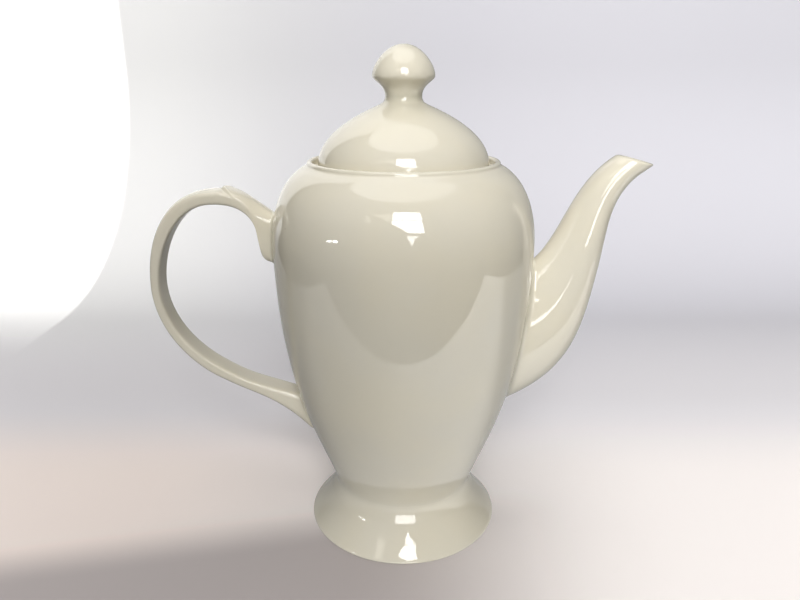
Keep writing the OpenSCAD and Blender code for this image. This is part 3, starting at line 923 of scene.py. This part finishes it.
def seen_sheet(net, x, y, z):
    """What the camera sees: warm on the table and cool on the wall, with painted light and
    shade: the table brighter to the right, a shaded band where the sheet starts to rise, the
    wall brighter to its left, and a shadow over the table's front corner."""
    run = y + z
    # Painted light: the table is brighter and less pink to the right.
    table = net.mix(x.step(-0.18, 0.02), (0.97, 0.85, 0.80), (0.99, 0.93, 0.92))
    # Painted shadow over the table's front corner.
    corner = (1 - x.step(-0.03, 0.11)) * (1 - (y - x * 0.2).step(-0.028, 0.008))
    table = net.mix(corner, table, (0.45, 0.40, 0.40))
    # Painted shade: the band where the sheet starts to rise is darker, more so to the left.
    rise_shade = net.mix(x.step(-0.2, 0.1), (0.82, 0.80, 0.84), (0.91, 0.89, 0.935))
    # Painted light: the wall is brighter to its left.
    wall = net.mix(x.step(-0.36, 0.1), (0.96, 0.96, 0.97), (0.78, 0.775, 0.845))
    rise = net.mix(run.step(0.025, 0.12), table, rise_shade)
    # Painted light as glow for the camera: a bright strip at the far left, a faint glow on the left
    # of the wall, and a glow on the table that is stronger to the right.
    sunlit = (1 - x.step(-0.344, -0.339)) * run.step(0.2, 0.4) * 0.5
    left_wall_glow = (1 - x.step(-0.36, -0.1)) * run.step(0.3, 0.5) * 0.07
    table_glow = (1 - run.step(0.02, 0.15)) * (0.07 + x.step(0.0, 0.15) * 0.06)
    return net.mix(run.step(0.13, 0.38), rise, wall), sunlit + left_wall_glow + table_glow


def mirrored_sheet(net, x, y, z):
    """What the glaze mirrors: the sheet ends at the table's front edge and at both sides.
    It is sunny in front on the right, and a second window lights the wall on the left."""
    inside = (x - SHEET_MID).math("ABSOLUTE") - y.step(0.4, 0.52) * 0.28
    inside = 1 - inside.step(SHEET_HALF - 0.0025, SHEET_HALF + 0.0025)
    inside = inside * y.step(TABLE_EDGE - 0.001, TABLE_EDGE + 0.001)
    wall = net.mix(x.step(-0.1, 0.1), grey(0.90), grey(0.10))
    # Painted light and shade on the mirrored sheet: the table is darker to the left and darker
    # again behind the pot, the wall is bright on the left and dark on the right, and the sun glows
    # most in front on the right.
    table = net.mix(x.step(-0.2, 0.1), (0.50, 0.48, 0.47), (0.86, 0.84, 0.83))
    table = net.mix(y.step(-0.03, 0.06), table, grey(0.45))
    paper = net.mix(z.step(0.02, 0.1), table, wall)
    wall_glow = z.step(0.03, 0.15) * (1 - x.step(-0.35, 0.05)) * 0.5
    sun = (1 - y.step(-0.05, 0.03) * 0.8) * (0.35 + x.step(-0.1, 0.1) * 0.85)
    return net.mix(inside, (0.05, 0.048, 0.045), paper), (wall_glow + sun) * inside


def thrown_sheet(net, x, z):
    """What it throws back onto the pot as soft light: mostly the patch at the right."""
    table = net.mix(x.step(-0.1, 0.06), grey(0.03), (0.34, 0.33, 0.32))
    table = net.mix(x.step(0.12, 0.28), table, grey(0.10))
    wall = net.mix(x.step(-0.1, 0.1), grey(0.20), grey(0.05))
    return net.mix(z.step(0.02, 0.1), table, wall)


def sheet_material():
    material = bpy.data.materials.new("sheet")
    material.use_nodes = True
    tree = material.node_tree
    tree.nodes.clear()
    net = Net(tree)
    place = net.node("ShaderNodeTexCoord", output="Object")
    part = net.node("ShaderNodeSeparateXYZ", place)
    x, y, z = (Value(net, s) for s in part.socket.node.outputs)
    camera = net.node("ShaderNodeLightPath", output="Is Camera Ray")
    glossy = net.node("ShaderNodeLightPath", output="Is Glossy Ray")
    seen, seen_glow = seen_sheet(net, x, y, z)
    mirrored, mirrored_glow = mirrored_sheet(net, x, y, z)
    colour = net.mix(camera, net.mix(glossy, thrown_sheet(net, x, z), mirrored), seen)
    glow = (mirrored_glow * glossy + seen_glow * camera) / GLOW
    shader = net.node("ShaderNodeBsdfPrincipled", **{
        "Base Color": colour, "Roughness": 0.7, "Emission Strength": GLOW,
        "Emission Color": net.mix(glow, grey(0), (0.98, 0.97, 0.94))})
    out = tree.nodes.new("ShaderNodeOutputMaterial")
    tree.links.new(shader.socket, out.inputs["Surface"])
    return material


sheet = sheet_piece()
sheet.data.materials.append(sheet_material())

# %% [markdown]
# ## Light
#
# Daylight from a window in front of the table, seen in the glaze as a small bright
# pane with a bar across, and a soft light from the ceiling. The rest of the room is
# dim, which is why the sides of the pot are darker than its middle.


# %% Lights
def soft_light(name, place, target, size, power, colour=(1, 1, 1)):
    light = bpy.data.lights.new(name, "AREA")
    light.shape, light.size, light.size_y = "RECTANGLE", *size
    light.energy, light.color = power, colour
    piece = bpy.data.objects.new(name, light)
    scene.collection.objects.link(piece)
    way = np.array(place) - np.array(target)
    piece.location = place
    piece.rotation_euler = (math.atan2(math.hypot(way[0], way[1]), way[2]), 0,
                            math.atan2(way[0], -way[1]))


SHOULDER = (0, -0.06, 0.17)


def seen_from_shoulder(azimuth, elevation, depth):
    """The point in that direction from the pot's shoulder, in degrees, that lies that
    far in front of it."""
    a, e = math.radians(azimuth), math.radians(elevation)
    return (depth * math.tan(a), SHOULDER[1] - depth,
            SHOULDER[2] + depth * math.tan(e) / math.cos(a))


def pane(name, left, right, low, high, bright, depth=1.7, colour=(1.0, 0.99, 0.97)):
    """An upright pane between those directions, as bright as that to look at."""
    x0, x1 = (seen_from_shoulder(a, 0, depth)[0] for a in (left, right))
    z0, z1 = (seen_from_shoulder(0, e, depth)[2] for e in (low, high))
    middle = ((x0 + x1) / 2, SHOULDER[1] - depth, (z0 + z1) / 2)
    width, height = x1 - x0, z1 - z0
    soft_light(name, middle, (middle[0], 0, middle[2]), (width, height),
               math.pi * bright * width * height, colour)


def card(corners, depth=0.39):
    """The dark shape of the camera and its holder, in front of the window."""
    mesh = bpy.data.meshes.new("card")
    points = [seen_from_shoulder(a, e, depth) for a, e in corners]
    mesh.from_pydata(points, [], [tuple(range(len(points)))])
    material = bpy.data.materials.new("card")
    material.use_nodes = True
    shader = material.node_tree.nodes["Principled BSDF"]
    shader.inputs["Base Color"].default_value = (0.03, 0.03, 0.03, 1)
    shader.inputs["Roughness"].default_value = 1.0
    mesh.materials.append(material)
    piece = bpy.data.objects.new("card", mesh)
    scene.collection.objects.link(piece)
    piece.visible_camera = False


BRIGHT = 12.3
# Directions in degrees: across to the left end, to both sides of the bar and to the right
# end, and the rows of panes from low to high.
LEFT, BAR_LEFT, BAR_RIGHT, RIGHT = -11.6, 14.6, 15.0, 17.7
TOP_ROW, MIDDLE_ROW, LOW_ROW = (36, 46.2), (20.5, 35.4), (-4, 17.5)
PANES = [(LEFT, BAR_LEFT, *TOP_ROW, 1), (BAR_RIGHT, RIGHT, *TOP_ROW, 1),
         (LEFT, BAR_LEFT, *MIDDLE_ROW, 1), (BAR_RIGHT, RIGHT, *MIDDLE_ROW, 1),
         (LEFT, RIGHT, *LOW_ROW, 0.65)]
for k, (left, right, low, high, share) in enumerate(PANES):
    pane(f"pane_{k}", left, right, low, high, BRIGHT * share)
pane("wing", -37, -13.2, 34, 43.5, 1.8, colour=(1.0, 0.95, 0.82))
for k, directions in enumerate([(-67, -63, 8.0, 12.0), (-61.3, -57.2, 8.7, 13.0)]):
    pane(f"lamp_{k}", *directions, BRIGHT * 1.5, depth=0.6)
card([(-37, 39.1), (-25.6, 38.2), (-14, 32), (3.5, 21.7), (3.4, 16.1), (7, 7.2), (11, 15.4),
      (19, 21), (19, -7), (-14, -7)])


def room():
    """A dim room, brighter in front of the pot, with a light ceiling. The brighter part
    is soft light that the glaze hardly mirrors."""
    world = bpy.data.worlds.new("room")
    scene.world = world
    world.use_nodes = True
    tree = world.node_tree
    tree.nodes.clear()
    net = Net(tree)
    way = net.node("ShaderNodeTexCoord", output="Generated")
    part = net.node("ShaderNodeSeparateXYZ", way)
    x, y, z = (Value(net, s) for s in part.socket.node.outputs)
    glossy = net.node("ShaderNodeLightPath", output="Is Glossy Ray")
    front = (z * 0.17 - y * 0.98).math("MAXIMUM", 0.0) ** 14.0
    glow = (z * 0.66 - x * 0.3 - y * 0.68).math("MAXIMUM", 0.0) ** 8.0
    soft = (front * 0.5 + glow * 0.35) * (1 - glossy * 0.85)
    strength = 0.02 + soft + z.step(0.86, 0.885) * (1.6 - x * 0.7)
    background = net.node("ShaderNodeBackground", (1.0, 0.99, 0.97), strength)
    out = tree.nodes.new("ShaderNodeOutputWorld")
    tree.links.new(background.socket, out.inputs["Surface"])


room()

# %% [markdown]
# ## The camera
#
# A short lens, close to the pot and a little above its lid, looking down by 18.7 degrees.

# %% Camera and view
camera_data = bpy.data.cameras.new("camera")
camera_data.lens, camera_data.sensor_width = 30.108, 36
camera = bpy.data.objects.new("camera", camera_data)
camera.location = (-0.0017, -0.32802, 0.23508)
camera.rotation_euler = (math.radians(71.277), 0, 0)
scene.collection.objects.link(camera)
scene.camera = camera
scene.view_settings.view_transform = "Standard"
